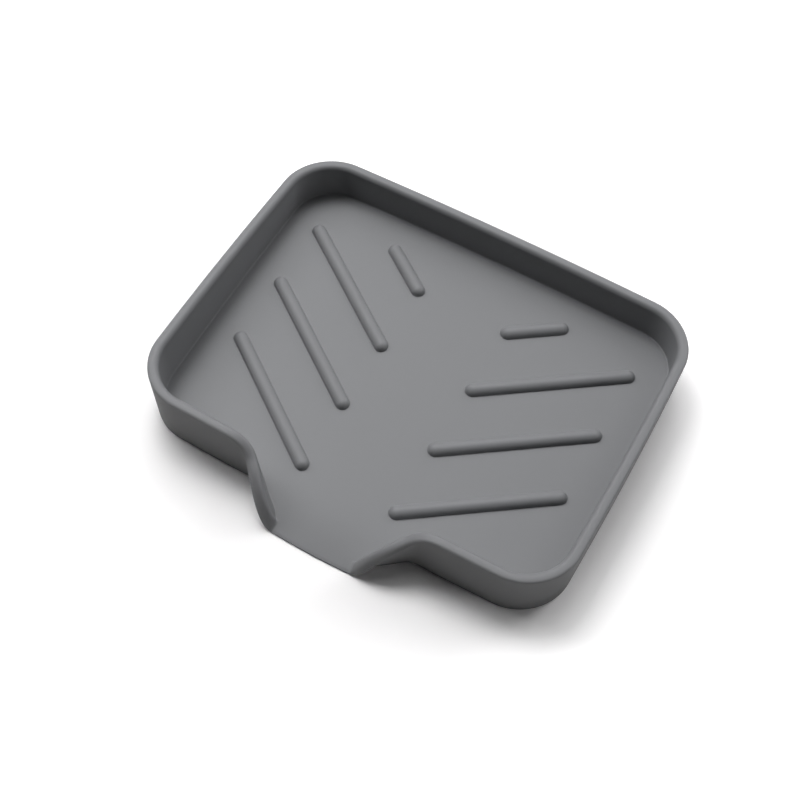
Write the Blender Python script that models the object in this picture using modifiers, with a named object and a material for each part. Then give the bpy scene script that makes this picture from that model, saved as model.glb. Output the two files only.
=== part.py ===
"""Self-draining silicone soap dish: one moulded tray with eight soap ribs and a pouring spout.

Metres, +Z up. The tray stands on z = 0, its spout points to -Y, and the origin is the centre of its
bounding box at the bottom.
"""

import math

import bmesh
import bpy
from mathutils import Matrix, Vector, geometry

# Overall size
TRAY_WIDTH = 0.130
TRAY_DEPTH = 0.0995
TRAY_HEIGHT = 0.019
CORNER_RADIUS = 0.0153
SIDE_BOW = 0.0008
FRONT_BOW = 0.0012

# Walls and rim
RIM_WIDTH = 0.0031
RIM_INNER_ROUND = 0.0012
RIM_OUTER_ROUND = 0.0007
OUTER_DRAFT = 0.0009
INNER_DRAFT = 0.0002
FLOOR_FILLET = 0.0004
BASE_ROUND = 0.0006

# Floor, which slopes down to the spout
FLOOR_BACK_HEIGHT = 0.0075
FLOOR_FRONT_HEIGHT = 0.0029

# Spout
MOUTH_WIDTH = 0.0588
LIP_WIDTH_SHARE = 0.408
SPOUT_REACH = 0.0104
LIP_BOW = 0.0003
LIP_THICKNESS = 0.0006
# Control points of the wall's top edge from the mouth to the lip, as two Bezier curves end to end:
# the way inwards, the way outwards and the way down, each as a share of the whole way.
SPOUT_EDGE_SHARES = (
    (0, 0, 0),
    (0.116, 0, 0),
    (0.228, 0, 0.261),
    (0.366, 0.287, 0.327),
    (0.666, 0.911, 0.47),
    (0.854, 0.993, 1),
    (1, 1, 1),
)
# The spout's wall leans outwards and its rim tips to the front, most at these shares of the way down
SPOUT_LEAN = 0.0026
SPOUT_LEAN_PEAK = 0.6
INNER_LEAN_SHARE = 0.6
RIM_TIP = 0.0028
RIM_TIP_PEAK = 0.9
SWELL_POWER = 2.5
# Share of the rim outside its inner rounding that the spout's outer rounding takes
SPOUT_ROUND_SHARE = 0.79

# Soap ribs, laid as a herringbone that opens to the back
RIB_RADIUS = 0.0020
RIB_SUNK = 0.00035
RIB_ANGLE = math.radians(35.4)
RIB_PITCH = 0.0217
FRONT_RIB_Y = -0.0497
RIB_INNER_X = 0.0148
RIB_OUTER_X = 0.0510
SHORT_RIB_OUTER_X = 0.0276
LONG_RIBS = 3

# Recess under the base, inside the band that the tray stands on
FOOT_WIDTH = 0.0060
RECESS_DEPTH = 0.0008
RECESS_ROUND = 0.0004

# Fineness of the mesh
BACK_STEPS = 5
CORNER_STEPS = 10
SIDE_STEPS = 8
FRONT_STEPS = 4
SPOUT_STEPS = 12
LIP_STEPS = 6
ROUND_STEPS = 3
RIM_TOP_STEPS = 3
RIB_ROUND_STEPS = 5
RIB_TURN_STEPS = 20
RECESS_ROUND_STEPS = 2
CREASE_ANGLE = math.radians(35)
SEAM_WELD = 0.00001
CUT_OVERRUN = 0.001

# Largest share of the wall's height that a rounding takes where the wall dies out into the lip
THIN_ROUND_SHARE = 0.45

COLOUR = (0.235, 0.238, 0.242, 1)
ROUGHNESS = 0.62

HALF_WIDTH = TRAY_WIDTH / 2 - SIDE_BOW
HALF_DEPTH = TRAY_DEPTH / 2 - FRONT_BOW
LIP_Y = -(TRAY_DEPTH / 2 + SPOUT_REACH)
LIP_WIDTH = MOUTH_WIDTH * LIP_WIDTH_SHARE
SPOUT_ROUND = (RIM_WIDTH - RIM_INNER_ROUND) * SPOUT_ROUND_SHARE
INNER_FOOT = RIM_WIDTH + INNER_DRAFT + FLOOR_FILLET
FLOOR_BACK_Y = TRAY_DEPTH / 2 - INNER_FOOT
# The outline is drawn about the middle of the body, and the bounding box also holds the spout.
BODY_SHIFT = Vector((0, SPOUT_REACH / 2, 0))


def clear_scene():
    for obj in list(bpy.data.objects):
        bpy.data.objects.remove(obj, do_unlink=True)


def new_collection(name):
    collection = bpy.data.collections.new(name)
    bpy.context.scene.collection.children.link(collection)
    return collection


def silicone():
    material = bpy.data.materials.new("grey_silicone")
    material.use_nodes = True
    shader = material.node_tree.nodes["Principled BSDF"]
    shader.inputs["Base Color"].default_value = COLOUR
    shader.inputs["Roughness"].default_value = ROUGHNESS
    shader.inputs["Metallic"].default_value = 0
    material.diffuse_color = COLOUR
    return material


def bowed(x, y):
    """A point of the plain rounded rectangle, moved out by the gentle bow of the sides."""
    side = math.copysign(SIDE_BOW, x) * (x / HALF_WIDTH) ** 2 * (1 - (y / HALF_DEPTH) ** 2)
    front = math.copysign(FRONT_BOW, y) * (y / HALF_DEPTH) ** 2 * (1 - (x / HALF_WIDTH) ** 2)
    return Vector((x + side, y + front))


MOUTH = bowed(MOUTH_WIDTH / 2, -HALF_DEPTH)
FLOOR_FRONT_Y = MOUTH.y + INNER_FOOT
FLOOR_SLOPE = (FLOOR_BACK_HEIGHT - FLOOR_FRONT_HEIGHT) / (FLOOR_BACK_Y - FLOOR_FRONT_Y)


def run(start, end, steps):
    """Steps from start to end, without the end itself."""
    return [start + (end - start) * i / steps for i in range(steps)]


def half_body_outline():
    """The right half of the rim's outer edge in plan, from the middle of the back to the mouth."""
    inner_x = HALF_WIDTH - CORNER_RADIUS
    inner_y = HALF_DEPTH - CORNER_RADIUS
    points = [bowed(x, HALF_DEPTH) for x in run(0, inner_x, BACK_STEPS)]
    for angle in run(math.pi / 2, 0, CORNER_STEPS):
        points.append(
            bowed(
                inner_x + CORNER_RADIUS * math.cos(angle),
                inner_y + CORNER_RADIUS * math.sin(angle),
            )
        )
    points += [bowed(HALF_WIDTH, y) for y in run(inner_y, -inner_y, SIDE_STEPS)]
    for angle in run(0, -math.pi / 2, CORNER_STEPS):
        points.append(
            bowed(
                inner_x + CORNER_RADIUS * math.cos(angle),
                -inner_y + CORNER_RADIUS * math.sin(angle),
            )
        )
    return points + [bowed(x, -HALF_DEPTH) for x in run(inner_x, MOUTH_WIDTH / 2, FRONT_STEPS)]


def spout_edge():
    """The spout wall's top outer edge in space, from the mouth to the end of the lip."""
    start = Vector((MOUTH.x, MOUTH.y, TRAY_HEIGHT))
    end = Vector((LIP_WIDTH / 2, LIP_Y + LIP_BOW, LIP_THICKNESS))
    way = end - start
    points = [start + Vector((way.x * a, way.y * b, way.z * c)) for a, b, c in SPOUT_EDGE_SHARES]
    upper = geometry.interpolate_bezier(*points[:4], SPOUT_STEPS + 1)
    lower = geometry.interpolate_bezier(*points[3:], SPOUT_STEPS + 1)
    return upper[:-1] + lower[:-1]


def lip_edge():
    """The lip's outer edge, from its end to the middle of the tray."""
    edge = []
    for x in run(LIP_WIDTH / 2, 0, LIP_STEPS) + [0]:
        edge.append(Vector((x, LIP_Y + LIP_BOW * (x / (LIP_WIDTH / 2)) ** 2, LIP_THICKNESS)))
    return edge


def rim_edge():
    """The right half of the rim's outer edge in space, from the middle of the back to the lip's."""
    body = [Vector((p.x, p.y, TRAY_HEIGHT)) for p in half_body_outline()]
    return body + spout_edge() + lip_edge()


def outward_normals(edge):
    """The plan direction out of the tray at each point of the rim's outer edge."""
    ways = [(after - before).xy.normalized() for before, after in zip(edge, edge[1:])]
    normals = [Vector((0, 1))]
    for before, after in zip(ways, ways[1:]):
        along = (before + after).normalized()
        normals.append(Vector((-along.y, along.x)))
    return normals + [Vector((0, -1))]


def floor_height(y):
    """The floor's top: one slope in the tray, which rolls over towards the lip in the spout."""
    height = FLOOR_FRONT_HEIGHT + FLOOR_SLOPE * (y - FLOOR_FRONT_Y)
    if y >= FLOOR_FRONT_Y:
        return height
    at_lip = FLOOR_FRONT_HEIGHT + FLOOR_SLOPE * (LIP_Y - FLOOR_FRONT_Y)
    roll_share = ((FLOOR_FRONT_Y - y) / (FLOOR_FRONT_Y - LIP_Y)) ** 2
    return height - (at_lip - LIP_THICKNESS) * roll_share


def quarter(steps):
    """Cosine and sine of the angles of a rounded edge, from 0 to 90 degrees."""
    angles = [math.pi / 2 * i / steps for i in range(steps + 1)]
    return [(math.cos(a), math.sin(a)) for a in angles]


def swell(fall, peak):
    """How much of a change shows at a share of the way down the spout: all of it at the peak."""
    growth = (fall / peak) ** (SWELL_POWER * peak)
    return growth * ((1 - fall) / (1 - peak)) ** (SWELL_POWER * (1 - peak))


def wall_section(point, normal):
    """One section of the wall, from the floor over the rim and down to the base."""

    def at(inset, height):
        return Vector((point.x - normal.x * inset, point.y - normal.y * inset, height))

    def floor_at(inset):
        return floor_height(at(inset, 0).y)

    def rim_at(inset):
        return top + tip * (1 - (1 - inset / RIM_WIDTH) ** 2)

    top = point.z
    fall = max(0, min(1, (TRAY_HEIGHT - top) / (TRAY_HEIGHT - LIP_THICKNESS)))
    lean = SPOUT_LEAN * swell(fall, SPOUT_LEAN_PEAK)
    tip = RIM_TIP * swell(fall, RIM_TIP_PEAK)
    inner_face = RIM_WIDTH + INNER_DRAFT + INNER_LEAN_SHARE * lean
    inner_rise = max(0, top + tip - floor_at(inner_face))
    fillet = min(FLOOR_FILLET, THIN_ROUND_SHARE * inner_rise)
    inner_round = min(RIM_INNER_ROUND, THIN_ROUND_SHARE * inner_rise)
    rounder = (SPOUT_ROUND - RIM_OUTER_ROUND) * swell(fall, SPOUT_LEAN_PEAK)
    outer_round = min(RIM_OUTER_ROUND + rounder, THIN_ROUND_SHARE * top)
    base_round = min(BASE_ROUND, THIN_ROUND_SHARE * top)
    outer_foot = OUTER_DRAFT * top / TRAY_HEIGHT + lean
    turn = quarter(ROUND_STEPS)
    section = []
    for cosine, sine in turn:
        inset = inner_face + FLOOR_FILLET * (1 - sine)
        section.append(at(inset, floor_at(inset) + fillet * (1 - cosine)))
    for cosine, sine in turn:
        inset = RIM_WIDTH - RIM_INNER_ROUND * (1 - cosine)
        section.append(at(inset, max(floor_at(inset), rim_at(inset) - inner_round * (1 - sine))))
    for inset in run(RIM_WIDTH - RIM_INNER_ROUND, outer_round, RIM_TOP_STEPS)[1:]:
        section.append(at(inset, max(floor_at(inset), rim_at(inset))))
    for cosine, sine in reversed(turn):
        inset = outer_round * (1 - cosine)
        section.append(at(inset, rim_at(inset) - outer_round * (1 - sine)))
    for cosine, sine in turn:
        section.append(at(outer_foot + base_round * (1 - cosine), base_round * (1 - sine)))
    return section


def half_tray_mesh():
    """The tray's right half as one loft round the rim, open at the middle plane."""
    edge = rim_edge()
    mouth = len(half_body_outline())
    lip = mouth + 2 * SPOUT_STEPS
    work = bmesh.new()
    rows = []
    for point, normal in zip(edge, outward_normals(edge)):
        rows.append([work.verts.new(p) for p in wall_section(point, normal)])
    for row, following in zip(rows, rows[1:]):
        for a, b, c, d in zip(row, row[1:], following[1:], following):
            work.faces.new((a, b, c, d))
    feet = [row[0] for row in rows]
    # The floor stays flat up to the foot that lies furthest back in the spout.
    turn = max(range(mouth, lip), key=lambda i: feet[i].co.y)
    spout = feet[turn:lip]
    middle = [work.verts.new((0, foot.co.y, foot.co.z)) for foot in spout]
    work.faces.new([*feet[: turn + 1], middle[0]])
    for a, b, c, d in zip(spout, spout[1:], middle[1:], middle):
        work.faces.new((a, b, c, d))
    work.faces.new([middle[-1], *feet[lip - 1 :]])
    work.faces.new([row[-1] for row in reversed(rows)])
    bmesh.ops.recalc_face_normals(work, faces=work.faces[:])
    mesh = bpy.data.meshes.new("tray")
    work.to_mesh(mesh)
    work.free()
    mesh.shade_smooth()
    mesh.set_sharp_from_angle(angle=CREASE_ANGLE)
    return mesh


def new_helper(name, mesh, collection):
    helper = bpy.data.objects.new(name, mesh)
    helper.hide_render = True
    helper.display_type = "WIRE"
    collection.objects.link(helper)
    return helper


def rib_profile(length):
    """Half the outline of a round rod with ball ends, along +Z."""
    turn = quarter(RIB_ROUND_STEPS)
    lower = [(RIB_RADIUS * s, -RIB_RADIUS * c) for c, s in turn]
    upper = [(RIB_RADIUS * c, length + RIB_RADIUS * s) for c, s in turn]
    return [Vector((x, 0, z)) for x, z in reversed(lower + upper)]


def add_rib(index, side, outer_x, collection):
    """A ball-ended rod that lies along the floor, sunk a little into it."""
    ends = []
    for x in (RIB_INNER_X, outer_x):
        y = FRONT_RIB_Y + index * RIB_PITCH + x * math.tan(RIB_ANGLE)
        ends.append(Vector((side * x, y, floor_height(y) - RIB_SUNK)))
    way = ends[1] - ends[0]
    points = rib_profile(way.length)
    mesh = bpy.data.meshes.new("rib")
    mesh.from_pydata(points, [(i, i + 1) for i in range(len(points) - 1)], [])
    name = f"rib_{'right' if side > 0 else 'left'}_{index + 1}"
    rib = new_helper(name, mesh, collection)
    turned = way.to_track_quat("Z", "Y").to_matrix().to_4x4()
    rib.matrix_world = Matrix.Translation(ends[0] + BODY_SHIFT) @ turned
    screw = rib.modifiers.new("turn", "SCREW")
    screw.steps = RIB_TURN_STEPS
    screw.render_steps = RIB_TURN_STEPS
    screw.use_merge_vertices = True
    screw.merge_threshold = SEAM_WELD
    screw.use_smooth_shade = True
    return rib


def add_recess_cutter(collection):
    """The block that hollows the underside, inside the foot band and clear of the spout."""
    edge = half_body_outline()
    edge += [bowed(x, -HALF_DEPTH) for x in run(MOUTH.x, 0, FRONT_STEPS) + [0]]
    inset = OUTER_DRAFT + FOOT_WIDTH
    right = [p - n * inset for p, n in zip(edge, outward_normals(edge))]
    left = [Vector((-p.x, p.y)) for p in reversed(right[1:-1])]
    work = bmesh.new()
    work.faces.new([work.verts.new((p.x, p.y, -CUT_OVERRUN)) for p in right + left])
    mesh = bpy.data.meshes.new("base_recess")
    work.to_mesh(mesh)
    work.free()
    cutter = new_helper("base_recess", mesh, collection)
    cutter.location = BODY_SHIFT
    block = cutter.modifiers.new("block", "SOLIDIFY")
    block.thickness = CUT_OVERRUN + RECESS_DEPTH
    corner = cutter.modifiers.new("corner", "BEVEL")
    corner.width = RECESS_ROUND
    corner.segments = RECESS_ROUND_STEPS
    return cutter


def add_tray(collection, ribs, recess):
    tray = bpy.data.objects.new("tray", half_tray_mesh())
    tray.location = BODY_SHIFT
    tray.data.materials.append(silicone())
    collection.objects.link(tray)
    mirror = tray.modifiers.new("left_half", "MIRROR")
    mirror.use_axis = (True, False, False)
    mirror.use_mirror_merge = True
    mirror.merge_threshold = SEAM_WELD
    union = tray.modifiers.new("soap_ribs", "BOOLEAN")
    union.operation = "UNION"
    union.operand_type = "COLLECTION"
    union.collection = ribs
    union.solver = "EXACT"
    cut = tray.modifiers.new("base_recess", "BOOLEAN")
    cut.operation = "DIFFERENCE"
    cut.object = recess
    cut.solver = "EXACT"
    return tray


def main():
    clear_scene()
    dish = new_collection("soap_dish")
    ribs = new_collection("soap_ribs")
    cutters = new_collection("cutters")
    for index in range(LONG_RIBS + 1):
        outer_x = RIB_OUTER_X if index < LONG_RIBS else SHORT_RIB_OUTER_X
        for side in (1, -1):
            add_rib(index, side, outer_x, ribs)
    add_tray(dish, ribs, add_recess_cutter(cutters))


main()
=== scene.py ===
"""Grey silicone soap dish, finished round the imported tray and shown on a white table.

Metres, +Z up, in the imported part's frame: the tray stands on z = 0, its spout points to -Y, and the
origin is the centre of its bounding box at the bottom. The overall size, the floor and the foot
band are the part's. The front wall's bow, the rim, the spout's edge and the ribs are closer to the
photograph than the part's.
"""

import math

import bmesh
import bpy
from mathutils import Matrix, Vector, geometry


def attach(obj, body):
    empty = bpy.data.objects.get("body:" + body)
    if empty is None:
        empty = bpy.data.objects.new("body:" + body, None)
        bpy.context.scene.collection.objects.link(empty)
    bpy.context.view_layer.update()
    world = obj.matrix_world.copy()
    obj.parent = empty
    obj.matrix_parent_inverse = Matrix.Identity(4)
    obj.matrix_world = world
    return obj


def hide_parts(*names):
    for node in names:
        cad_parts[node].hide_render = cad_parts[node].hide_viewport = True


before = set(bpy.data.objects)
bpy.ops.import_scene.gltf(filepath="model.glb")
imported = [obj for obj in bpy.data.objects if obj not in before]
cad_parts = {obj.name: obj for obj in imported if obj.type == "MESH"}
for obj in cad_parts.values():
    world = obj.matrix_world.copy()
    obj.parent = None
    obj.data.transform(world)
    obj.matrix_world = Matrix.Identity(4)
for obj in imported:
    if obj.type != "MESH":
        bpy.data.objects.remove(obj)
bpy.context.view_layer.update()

# Overall size, the corners, and how far the middle of each side bows out
TRAY_WIDTH = 0.130
TRAY_DEPTH = 0.0995
TRAY_HEIGHT = 0.019
CORNER_RADIUS = 0.0153
SIDE_BOW = 0.0008
BACK_BOW = 0.0012
FRONT_BOW = 0.0007

# Walls and rim
RIM_WIDTH = 0.0031
RIM_INNER_ROUND = 0.0012
RIM_OUTER_ROUND = 0.0005
RIM_CROWN = 0.0003
OUTER_DRAFT = 0.0009
# How much further out than the draft puts it the front wall's foot stands, most near the spout
FRONT_FOOT_OUT = 0.0005
INNER_DRAFT = 0.0002
FLOOR_FILLET = 0.0004
BASE_ROUND = 0.0006
# Most of a low wall's height that one of its roundings takes
THIN_ROUND_SHARE = 0.45

# Floor, which slopes down to the spout
FLOOR_BACK_HEIGHT = 0.0075
FLOOR_FRONT_HEIGHT = 0.0029

# Spout
MOUTH_WIDTH = 0.0658
LIP_WIDTH_SHARE = 0.370
SPOUT_REACH = 0.0104
LIP_BOW = 0.0003
LIP_THICKNESS = 0.0006
# Control points of the edge's two Bezier curves, as shares of the way across, out and down
SPOUT_EDGE_SHARES = (
    (0, 0, 0),
    (0.292, 0, 0),
    (0.326, 0, 0.22),
    (0.445, 0.253, 0.291),
    (0.688, 0.772, 0.436),
    (0.818, 0.993, 0.884),
    (1, 1, 1),
)
# The spout's wall leans out and its rim tips forwards, most at these shares of the way down
SPOUT_LEAN = 0.0026
SPOUT_LEAN_PEAK = 0.6
INNER_LEAN_SHARE = 0.6
RIM_TIP = 0.0028
RIM_TIP_PEAK = 0.9
SWELL_POWER = 2.5
# Share of the rim outside its inner rounding that the spout's outer rounding takes
SPOUT_ROUND_SHARE = 0.79

# Soap ribs
RIB_RADIUS = 0.0021
RIB_SUNK = 0.0002
RIB_FOOT_ROUND = 0.00012
RIB_ANGLE = math.radians(35.4)
RIB_PITCH = 0.0217
FRONT_RIB_Y = -0.0497
RIB_INNER_X = 0.0148
RIB_OUTER_X = 0.0510
SHORT_RIB_OUTER_X = 0.0276
LONG_RIBS = 3

# Recess under the base
FOOT_WIDTH = 0.0060
RECESS_DEPTH = 0.0008
RECESS_ROUND = 0.0003

# Fineness of the mesh
BACK_STEPS = 12
CORNER_STEPS = 28
SIDE_STEPS = 16
FRONT_STEPS = 10
SPOUT_STEPS = 30
LIP_STEPS = 16
ROUND_STEPS = 6
RIM_TOP_STEPS = 5
# One in this many sections of the spout's wall has a line of points across the floor
SPOUT_FLOOR_STRIDE = 3
SPOUT_FLOOR_COLUMNS = 8
RIB_END_STEPS = 16
RIB_SIDE_STEPS = 8
RIB_ROUND_STEPS = 10
RIB_FOOT_STEPS = 4
# Band of flat surface kept beside each rounding, so that its shading ends there
FLAT_BAND = 0.00015
WELD = 0.000001
# The kind of triangulation that fills a ring and leaves what is outside it
FILL_INSIDE = 1

# Silicone
COLOUR = (0.2065, 0.2098, 0.2185)
ROUGHNESS = 0.55
SPECULAR = 0.29
# A faint mottle, which changes the colour and the roughness by up to this much either way
MOTTLE_SCALE = 60
MOTTLE_DETAIL = 3
COLOUR_SHARE = 0.025
ROUGHNESS_CHANGE = 0.05
GRAIN_SCALE = 3500
GRAIN_DETAIL = 2
GRAIN_STRENGTH = 0.12
GRAIN_DEPTH = 0.00004

# Table
TABLE_SIDE = 3.0
TABLE_COLOUR = (0.73, 0.72, 0.71)
TABLE_SEEN_COLOUR = (1, 0.99, 0.995)
# The table's glow to the camera: the distances from the dish's middle over which it comes up, and
#  its strength. The near one is painted light that lightens the outer part of the dish's shadow, and
#  the far one turns the table white where only low views show it.
NEAR_GLOW = (0.062, 0.100, 0.36)
FAR_GLOW = (0.2, 0.6, 1)

# Each softbox's name, azimuth and elevation in degrees, distance in metres, and the light it gives
SOFTBOXES = (
    ("key", 240, 62, 0.8, 1.46),
    ("left", 270, 43, 0.8, 0.79),
    ("right_back", 150, 43, 0.8, 0.52),
    ("right_back_low", 150, 24, 0.8, 0.56),
    ("right_low", 90, 24, 0.8, 0.31),
    ("back", 200, 62, 3, 0.49),
    ("top", 230, 78, 3, 0.33),
    ("back_low", 210, 43, 3, 0.25),
    ("left_low", 270, 24, 3, 0.17),
)
# How wide each softbox is as seen from the dish
SOFTBOX_WIDTH = math.radians(24)

# Camera, as fitted to the photograph, with its azimuth and elevation in degrees
CAMERA_LENS = 62.275
CAMERA_SENSOR = 36
CAMERA_AZIMUTH = 26.1832
CAMERA_ELEVATION = 58.3701
CAMERA_ROLL = math.radians(3.7939)
CAMERA_TARGET = Vector((0.002551, -0.011219, 0.019))
CAMERA_DISTANCE = 0.371387
CAMERA_CLIP = (0.01, 10)

HALF_WIDTH = TRAY_WIDTH / 2 - SIDE_BOW
HALF_DEPTH = TRAY_DEPTH / 2 - BACK_BOW
LIP_Y = -(TRAY_DEPTH / 2 + SPOUT_REACH)
LIP_WIDTH = MOUTH_WIDTH * LIP_WIDTH_SHARE
SPOUT_ROUND = (RIM_WIDTH - RIM_INNER_ROUND) * SPOUT_ROUND_SHARE
INNER_FOOT = RIM_WIDTH + INNER_DRAFT + FLOOR_FILLET
FLOOR_BACK_Y = TRAY_DEPTH / 2 - INNER_FOOT
# The outline is drawn about the middle of the body, and the bounding box also holds the spout.
BODY_SHIFT = Vector((0, SPOUT_REACH / 2, 0))


def bowed(x, y):
    """A point of the plain rounded rectangle, moved out by the gentle bow of the sides."""
    side = math.copysign(SIDE_BOW, x) * (x / HALF_WIDTH) ** 2 * (1 - (y / HALF_DEPTH) ** 2)
    across = math.copysign(BACK_BOW if y > 0 else FRONT_BOW, y)
    across *= (y / HALF_DEPTH) ** 2 * (1 - (x / HALF_WIDTH) ** 2)
    return Vector((x + side, y + across))


MOUTH = bowed(MOUTH_WIDTH / 2, -HALF_DEPTH)
FLOOR_FRONT_Y = MOUTH.y + INNER_FOOT
FLOOR_SLOPE = (FLOOR_BACK_HEIGHT - FLOOR_FRONT_HEIGHT) / (FLOOR_BACK_Y - FLOOR_FRONT_Y)
FLOOR_NORMAL = Vector((0, -FLOOR_SLOPE, 1)).normalized()


def run(start, end, steps):
    """Steps from start to end, without the end itself."""
    return [start + (end - start) * i / steps for i in range(steps)]


def half_body_outline():
    """The right half of the rim's outer edge in plan, from the middle of the back to the mouth."""
    inner_x = HALF_WIDTH - CORNER_RADIUS
    inner_y = HALF_DEPTH - CORNER_RADIUS
    points = [bowed(x, HALF_DEPTH) for x in run(0, inner_x, BACK_STEPS)]
    for angle in run(math.pi / 2, 0, CORNER_STEPS):
        x = inner_x + CORNER_RADIUS * math.cos(angle)
        points.append(bowed(x, inner_y + CORNER_RADIUS * math.sin(angle)))
    points += [bowed(HALF_WIDTH, y) for y in run(inner_y, -inner_y, SIDE_STEPS)]
    for angle in run(0, -math.pi / 2, CORNER_STEPS):
        x = inner_x + CORNER_RADIUS * math.cos(angle)
        points.append(bowed(x, -inner_y + CORNER_RADIUS * math.sin(angle)))
    return points + [bowed(x, -HALF_DEPTH) for x in run(inner_x, MOUTH_WIDTH / 2, FRONT_STEPS)]


def spout_edge():
    """The spout wall's top outer edge in space, from the mouth to the end of the lip."""
    start = Vector((MOUTH.x, MOUTH.y, TRAY_HEIGHT))
    end = Vector((LIP_WIDTH / 2, LIP_Y + LIP_BOW, LIP_THICKNESS))
    way = end - start
    points = [start + Vector((way.x * a, way.y * b, way.z * c)) for a, b, c in SPOUT_EDGE_SHARES]
    upper = geometry.interpolate_bezier(*points[:4], SPOUT_STEPS + 1)
    lower = geometry.interpolate_bezier(*points[3:], SPOUT_STEPS + 1)
    return upper[:-1] + lower[:-1]


def lip_edge():
    """The lip's outer edge, from its end to the middle of the tray."""
    edge = []
    for x in run(LIP_WIDTH / 2, 0, LIP_STEPS) + [0]:
        edge.append(Vector((x, LIP_Y + LIP_BOW * (x / (LIP_WIDTH / 2)) ** 2, LIP_THICKNESS)))
    return edge


def rim_edge():
    """The right half of the rim's outer edge in space, from the middle of the back to the lip's."""
    body = [Vector((p.x, p.y, TRAY_HEIGHT)) for p in half_body_outline()]
    return body + spout_edge() + lip_edge()


def outward_normals(edge):
    """The plan direction out of the tray at each point of the rim's outer edge."""
    ways = [(after - before).xy.normalized() for before, after in zip(edge, edge[1:])]
    normals = [Vector((0, 1))]
    for before, after in zip(ways, ways[1:]):
        along = (before + after).normalized()
        normals.append(Vector((-along.y, along.x)))
    return normals + [Vector((0, -1))]


def floor_height(y):
    """The floor's top: one slope in the tray, which rolls over towards the lip in the spout."""
    height = FLOOR_FRONT_HEIGHT + FLOOR_SLOPE * (y - FLOOR_FRONT_Y)
    if y >= FLOOR_FRONT_Y:
        return height
    at_lip = FLOOR_FRONT_HEIGHT + FLOOR_SLOPE * (LIP_Y - FLOOR_FRONT_Y)
    roll_share = ((FLOOR_FRONT_Y - y) / (FLOOR_FRONT_Y - LIP_Y)) ** 2
    return height - (at_lip - LIP_THICKNESS) * roll_share


def quarter(steps):
    """Cosine and sine of the angles of a rounded edge, from 0 to 90 degrees."""
    angles = [math.pi / 2 * i / steps for i in range(steps + 1)]
    return [(math.cos(a), math.sin(a)) for a in angles]


def swell(fall, peak):
    """How much of a change shows at a share of the way down the spout: all of it at the peak."""
    growth = (fall / peak) ** (SWELL_POWER * peak)
    return growth * ((1 - fall) / (1 - peak)) ** (SWELL_POWER * (1 - peak))


def wall_section(point, normal):
    """One section of the wall, from the floor over the rim and down to the base."""

    def at(inset, height):
        return Vector((point.x - normal.x * inset, point.y - normal.y * inset, height))

    def floor_at(inset):
        return floor_height(at(inset, 0).y)

    def rim_at(inset):
        share = inset / RIM_WIDTH
        return top + tip * (1 - (1 - share) ** 2) - crown * (1 - 2 * share) ** 2

    top = point.z
    fall = max(0, min(1, (TRAY_HEIGHT - top) / (TRAY_HEIGHT - LIP_THICKNESS)))
    lean = SPOUT_LEAN * swell(fall, SPOUT_LEAN_PEAK)
    tip = RIM_TIP * swell(fall, RIM_TIP_PEAK)
    crown = RIM_CROWN * (1 - fall)
    inner_face = RIM_WIDTH + INNER_DRAFT + INNER_LEAN_SHARE * lean
    inner_rise = max(0, top + tip - floor_at(inner_face))
    fillet = min(FLOOR_FILLET, THIN_ROUND_SHARE * inner_rise)
    inner_round = min(RIM_INNER_ROUND, THIN_ROUND_SHARE * inner_rise)
    rounder = (SPOUT_ROUND - RIM_OUTER_ROUND) * swell(fall, SPOUT_LEAN_PEAK)
    outer_round = min(RIM_OUTER_ROUND + rounder, THIN_ROUND_SHARE * top)
    base_round = min(BASE_ROUND, THIN_ROUND_SHARE * top)
    foot_out = FRONT_FOOT_OUT * (1 - fall) * max(0, -normal.y) * (1 - (point.x / HALF_WIDTH) ** 2)
    outer_foot = OUTER_DRAFT * top / TRAY_HEIGHT + lean - foot_out
    turn = quarter(ROUND_STEPS)
    flat = inner_face + FLOOR_FILLET + FLAT_BAND
    section = [at(flat, floor_at(flat))]
    for cosine, sine in turn:
        inset = inner_face + FLOOR_FILLET * (1 - sine)
        section.append(at(inset, floor_at(inset) + fillet * (1 - cosine)))
    for cosine, sine in turn:
        inset = RIM_WIDTH - RIM_INNER_ROUND * (1 - cosine)
        section.append(at(inset, max(floor_at(inset), rim_at(inset) - inner_round * (1 - sine))))
    for inset in run(RIM_WIDTH - RIM_INNER_ROUND, outer_round, RIM_TOP_STEPS)[1:]:
        section.append(at(inset, max(floor_at(inset), rim_at(inset))))
    for cosine, sine in reversed(turn):
        inset = outer_round * (1 - cosine)
        section.append(at(inset, rim_at(inset) - outer_round * (1 - sine)))
    for cosine, sine in turn:
        section.append(at(outer_foot + base_round * (1 - cosine), base_round * (1 - sine)))
    return section + [at(outer_foot + base_round + FLAT_BAND, 0)]


def whole_ring(half):
    """A ring of rows from those of its right half, which starts and ends on the middle plane."""
    left = [[Vector((-p.x, p.y, p.z)) for p in row] for row in reversed(half[1:-1])]
    return half + left


def rib_profile():
    """Distance from the rib's middle line and height over the floor, from foot to crest."""
    reach = RIB_RADIUS + RIB_FOOT_ROUND
    foot = math.sqrt(reach**2 - (RIB_FOOT_ROUND + RIB_SUNK) ** 2)
    meeting = math.atan2(RIB_FOOT_ROUND + RIB_SUNK, foot)
    profile = [(foot + FLAT_BAND, 0)]
    for angle in run(-math.pi / 2, meeting - math.pi, RIB_FOOT_STEPS):
        across = foot + RIB_FOOT_ROUND * math.cos(angle)
        profile.append((across, RIB_FOOT_ROUND + RIB_FOOT_ROUND * math.sin(angle)))
    for angle in run(meeting, math.pi / 2, RIB_ROUND_STEPS):
        profile.append((RIB_RADIUS * math.cos(angle), RIB_RADIUS * math.sin(angle) - RIB_SUNK))
    return profile + [(0, RIB_RADIUS - RIB_SUNK)]


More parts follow.
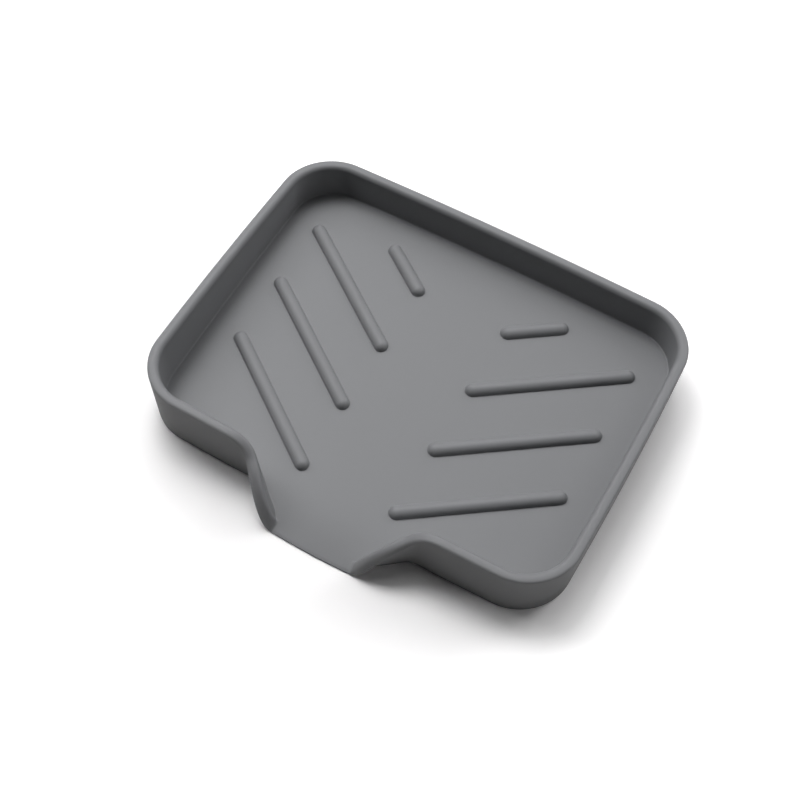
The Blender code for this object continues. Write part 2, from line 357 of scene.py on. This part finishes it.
def rib_rows(start, end):
    """Closed rows of points round a ball-ended rib, one for each step of its profile."""
    way = end - start
    heading = math.atan2(way.y, way.x)
    halves = ((start, end, heading + math.pi / 2), (end, start, heading - math.pi / 2))
    rows = []
    for distance, height in rib_profile():
        outline = []
        for centre, far, turned in halves:
            for angle in run(turned, turned + math.pi, RIB_END_STEPS):
                outline.append(centre + distance * Vector((math.cos(angle), math.sin(angle))))
            side = distance * Vector((math.cos(turned + math.pi), math.sin(turned + math.pi)))
            outline += run(centre + side, far + side, RIB_SIDE_STEPS)
        raised = height * FLOOR_NORMAL
        rows.append([Vector((p.x, p.y, floor_height(p.y))) + raised for p in outline])
    return rows


def ribs():
    """The rows of every rib."""
    found = []
    for index in range(LONG_RIBS + 1):
        outer_x = RIB_OUTER_X if index < LONG_RIBS else SHORT_RIB_OUTER_X
        for side in (1, -1):
            ends = []
            for x in (RIB_INNER_X, outer_x):
                y = FRONT_RIB_Y + index * RIB_PITCH + x * math.tan(RIB_ANGLE)
                ends.append(Vector((side * x, y)))
            found.append(rib_rows(*ends))
    return found


def recess_rows():
    """Rows down the side of the recess under the base, from the foot band to the recess's top."""
    edge = half_body_outline()
    edge += [bowed(x, -HALF_DEPTH) for x in run(MOUTH.x, 0, SPOUT_STEPS) + [0]]
    inset = OUTER_DRAFT + FOOT_WIDTH
    turn = [(RECESS_ROUND * (1 - c), RECESS_ROUND * (1 - s)) for c, s in quarter(ROUND_STEPS)]
    profile = [(inset - RECESS_ROUND - FLAT_BAND, 0)]
    profile += [(inset - across, up) for up, across in turn]
    profile += [(inset + across, RECESS_DEPTH - down) for across, down in turn]
    profile += [(inset + RECESS_ROUND + FLAT_BAND, RECESS_DEPTH)]
    half = []
    for point, normal in zip(edge, outward_normals(edge)):
        half.append([Vector((*(point - normal * across), up)) for across, up in profile])
    return whole_ring(half)


def add_grid(work, rows, closed_rows=False):
    """Vertices for rows of points that form a closed band, and the faces between them."""
    grid = [[work.verts.new(p) for p in row] for row in rows]
    neighbours = list(zip(grid, grid[1:])) if closed_rows else list(zip(grid, grid[1:] + grid[:1]))
    for row, following in neighbours:
        along = list(zip(row, row[1:], following[1:], following))
        if closed_rows:
            along.append((row[-1], row[0], following[0], following[-1]))
        for corners in along:
            work.faces.new(corners)
    return grid


def add_filling(work, ring, holes=(), inner=()):
    """Triangles inside a ring of vertices, round the convex holes and over the inner points."""
    inner = [work.verts.new(p) for p in inner]
    verts = [*ring, *(v for hole in holes for v in hole), *inner]
    loops = []
    first = 0
    for loop in (ring, *holes):
        last = first + len(loop) - 1
        loops += [(i, i + 1) for i in range(first, last)] + [(last, first)]
        first = last + 1
    hole_of = {v: i for i, hole in enumerate(holes) for v in hole}
    plan = [v.co.xy for v in verts]
    filled = geometry.delaunay_2d_cdt(plan, loops, [], FILL_INSIDE, WELD)
    triangles, sources = filled[2:4]
    for triangle in triangles:
        corners = [verts[sources[i][0]] for i in triangle]
        if len({hole_of.get(v, v) for v in corners}) > 1:
            work.faces.new(corners)


def spout_floor_points(feet):
    """Points over the spout's floor, in lines across from each foot of its right wall."""
    points = []
    for foot in feet:
        for x in run(-foot.x, foot.x, SPOUT_FLOOR_COLUMNS)[1:]:
            points.append((x, foot.y, foot.z))
    return points


def tray_mesh():
    """The whole moulding as one closed mesh."""
    edge = rim_edge()
    half = [wall_section(p, n) for p, n in zip(edge, outward_normals(edge))]
    mouth = len(half_body_outline())
    spout = half[mouth : mouth + 2 * SPOUT_STEPS : SPOUT_FLOOR_STRIDE]
    work = bmesh.new()
    wall = add_grid(work, whole_ring(half))
    rib_grids = [add_grid(work, rows, closed_rows=True) for rows in ribs()]
    recess = add_grid(work, recess_rows())
    add_filling(
        work,
        [row[0] for row in wall],
        [rows[0] for rows in rib_grids],
        spout_floor_points([row[0] for row in spout]),
    )
    add_filling(work, [row[-1] for row in wall], [[row[0] for row in recess]])
    add_filling(work, [row[-1] for row in recess])
    bmesh.ops.remove_doubles(work, verts=work.verts[:], dist=WELD)
    bmesh.ops.recalc_face_normals(work, faces=work.faces[:])
    bmesh.ops.translate(work, verts=work.verts[:], vec=BODY_SHIFT)
    mesh = bpy.data.meshes.new("dish")
    work.to_mesh(mesh)
    work.free()
    mesh.shade_smooth()
    return mesh


def add_node(tree, kind, values=()):
    """A new shader node, with its inputs set from pairs of a name and a value."""
    node = tree.nodes.new("ShaderNode" + kind)
    for name, value in values:
        node.inputs[name].default_value = value
    return node


def silicone():
    """Matte moulded silicone: nearly even grey, with a fine grain and a faint mottle."""
    material = bpy.data.materials.new("grey_silicone")
    material.use_nodes = True
    tree = material.node_tree
    links = tree.links
    shader = tree.nodes["Principled BSDF"]
    shader.inputs["Specular IOR Level"].default_value = SPECULAR
    place = add_node(tree, "TexCoord")
    mottle = add_node(tree, "TexNoise", (("Scale", MOTTLE_SCALE), ("Detail", MOTTLE_DETAIL)))
    links.new(place.outputs["Object"], mottle.inputs["Vector"])
    shade = add_node(tree, "Mix")
    shade.data_type = "RGBA"
    for name, share in (("A", 1 - COLOUR_SHARE), ("B", 1 + COLOUR_SHARE)):
        shade.inputs[name].default_value = (*(c * share for c in COLOUR), 1)
    links.new(mottle.outputs["Fac"], shade.inputs["Factor"])
    links.new(shade.outputs["Result"], shader.inputs["Base Color"])
    roughness = (("To Min", ROUGHNESS - ROUGHNESS_CHANGE), ("To Max", ROUGHNESS + ROUGHNESS_CHANGE))
    rough = add_node(tree, "MapRange", roughness)
    links.new(mottle.outputs["Fac"], rough.inputs["Value"])
    links.new(rough.outputs["Result"], shader.inputs["Roughness"])
    grain = add_node(tree, "TexNoise", (("Scale", GRAIN_SCALE), ("Detail", GRAIN_DETAIL)))
    links.new(place.outputs["Object"], grain.inputs["Vector"])
    bump = add_node(tree, "Bump", (("Strength", GRAIN_STRENGTH), ("Distance", GRAIN_DEPTH)))
    links.new(grain.outputs["Fac"], bump.inputs["Height"])
    links.new(bump.outputs["Normal"], shader.inputs["Normal"])
    return material


def add_dish():
    dish = bpy.data.objects.new("dish", tray_mesh())
    bpy.context.scene.collection.objects.link(dish)
    dish.data.materials.append(silicone())
    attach(dish, "root")
    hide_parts("tray")


def table_material():
    """A card that the camera sees white but for the dish's shadow, whose outer part a painted glow
    lightens, and that throws back less.
    """
    material = bpy.data.materials.new("white_card")
    material.use_nodes = True
    tree = material.node_tree
    links = tree.links
    card = tree.nodes["Principled BSDF"]
    card.inputs["Base Color"].default_value = (*TABLE_COLOUR, 1)
    card.inputs["Roughness"].default_value = 1
    card.inputs["Specular IOR Level"].default_value = 0
    white = add_node(tree, "BsdfDiffuse", [("Color", (*TABLE_SEEN_COLOUR, 1))])
    # Painted light: a glow that only the camera sees, which comes up away from the dish's middle and
    # lightens the outer part of its shadow
    place = add_node(tree, "TexCoord")
    away = add_node(tree, "VectorMath")
    away.operation = "LENGTH"
    links.new(place.outputs["Object"], away.inputs[0])
    both = add_node(tree, "Math")
    for index, ramp in enumerate((NEAR_GLOW, FAR_GLOW)):
        rise = add_node(tree, "MapRange", zip(("From Min", "From Max", "To Max"), ramp))
        rise.interpolation_type = "SMOOTHSTEP"
        links.new(away.outputs["Value"], rise.inputs["Value"])
        links.new(rise.outputs["Result"], both.inputs[index])
    glow = add_node(tree, "Emission")
    links.new(both.outputs["Value"], glow.inputs["Strength"])
    shown = add_node(tree, "AddShader")
    links.new(white.outputs["BSDF"], shown.inputs[0])
    links.new(glow.outputs["Emission"], shown.inputs[1])
    seen = add_node(tree, "LightPath")
    pick = add_node(tree, "MixShader")
    links.new(seen.outputs["Is Camera Ray"], pick.inputs["Fac"])
    links.new(card.outputs["BSDF"], pick.inputs[1])
    links.new(shown.outputs["Shader"], pick.inputs[2])
    links.new(pick.outputs["Shader"], tree.nodes["Material Output"].inputs["Surface"])
    return material


def add_table():
    mesh = bpy.data.meshes.new("table")
    half = TABLE_SIDE / 2
    corners = [(-half, -half, 0), (half, -half, 0), (half, half, 0), (-half, half, 0)]
    mesh.from_pydata(corners, [], [(0, 1, 2, 3)])
    table = bpy.data.objects.new("table", mesh)
    bpy.context.scene.collection.objects.link(table)
    mesh.materials.append(table_material())


def direction(azimuth, elevation):
    """The way from the dish to a place: azimuth 0 is in front of the spout, and 90 is +X."""
    turned = math.radians(azimuth)
    raised = math.radians(elevation)
    level = math.cos(raised)
    return Vector((math.sin(turned) * level, -math.cos(turned) * level, math.sin(raised)))


def add_softbox(name, azimuth, elevation, distance, strength):
    """A round softbox that faces the dish, as wide seen from there as the others."""
    lamp = bpy.data.lights.new(name, "AREA")
    lamp.shape = "DISK"
    lamp.size = 2 * distance * math.tan(SOFTBOX_WIDTH / 2)
    lamp.energy = strength * math.pi * distance**2
    box = bpy.data.objects.new(name, lamp)
    way = direction(azimuth, elevation)
    box.location = way * distance
    box.rotation_mode = "QUATERNION"
    box.rotation_quaternion = (-way).to_track_quat("-Z", "Y")
    box.visible_camera = False
    bpy.context.scene.collection.objects.link(box)


def add_world():
    """A backdrop that the camera sees white and that gives no light."""
    world = bpy.data.worlds.new("studio")
    bpy.context.scene.world = world
    world.use_nodes = True
    tree = world.node_tree
    backdrop = tree.nodes["Background"]
    backdrop.inputs["Color"].default_value = (1, 1, 1, 1)
    seen = add_node(tree, "LightPath")
    tree.links.new(seen.outputs["Is Camera Ray"], backdrop.inputs["Strength"])


def add_camera():
    lens = bpy.data.cameras.new("camera")
    lens.lens = CAMERA_LENS
    lens.sensor_width = CAMERA_SENSOR
    lens.clip_start, lens.clip_end = CAMERA_CLIP
    camera = bpy.data.objects.new("camera", lens)
    bpy.context.scene.collection.objects.link(camera)
    back = direction(CAMERA_AZIMUTH, CAMERA_ELEVATION)
    right = Matrix.Rotation(CAMERA_ROLL, 3, back) @ direction(CAMERA_AZIMUTH + 90, 0)
    axes = Matrix((right, back.cross(right), back)).transposed().to_4x4()
    camera.matrix_world = Matrix.Translation(CAMERA_TARGET + back * CAMERA_DISTANCE) @ axes
    bpy.context.scene.camera = camera


bpy.context.scene.view_settings.view_transform = "Standard"
add_dish()
add_table()
for softbox in SOFTBOXES:
    add_softbox(*softbox)
add_world()
add_camera()
